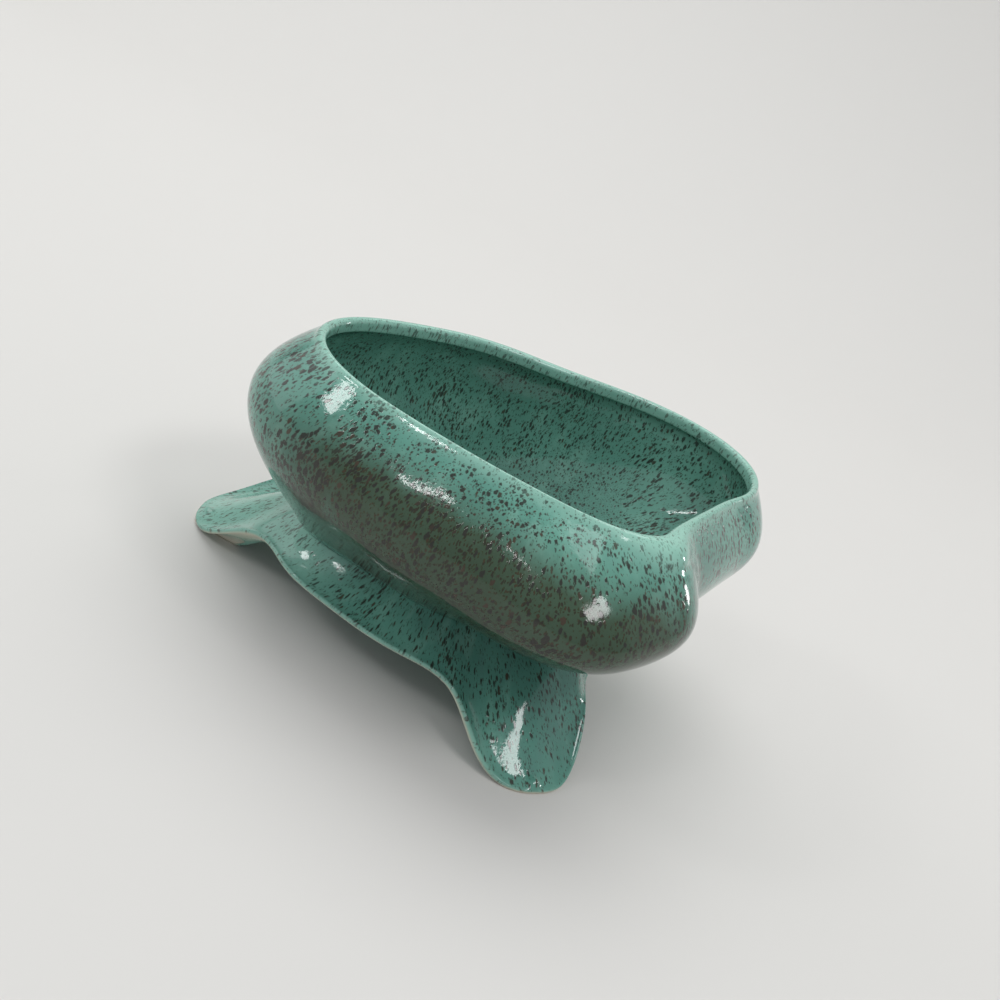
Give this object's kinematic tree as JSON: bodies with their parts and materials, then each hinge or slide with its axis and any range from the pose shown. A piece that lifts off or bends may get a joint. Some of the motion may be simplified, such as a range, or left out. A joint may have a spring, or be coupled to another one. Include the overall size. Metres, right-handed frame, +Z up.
{
  "type": "footed planter",
  "caption": "Low freeform ceramic planter: a three-cornered cushion-shaped bowl with a rolled-in lip on a flared, arched stand with splayed feet.",
  "frame": {"origin": "on the table, under the middle of the planter's outline", "axes": "+Z up; the broad bulging front faces -Y, the set-in end panel faces +X"},
  "size_m": [0.2117, 0.194, 0.103],
  "materials": {
    "bowl_glaze": "glossy sea-green glaze with dark speckles over fired clay",
    "stand_glaze": "glossy sea-green glaze with dark speckles, thin pale edges"
  },
  "bodies": {
    "root": {"bowl": "bowl_glaze", "stand": "stand_glaze"}
  },
  "joints": []
}
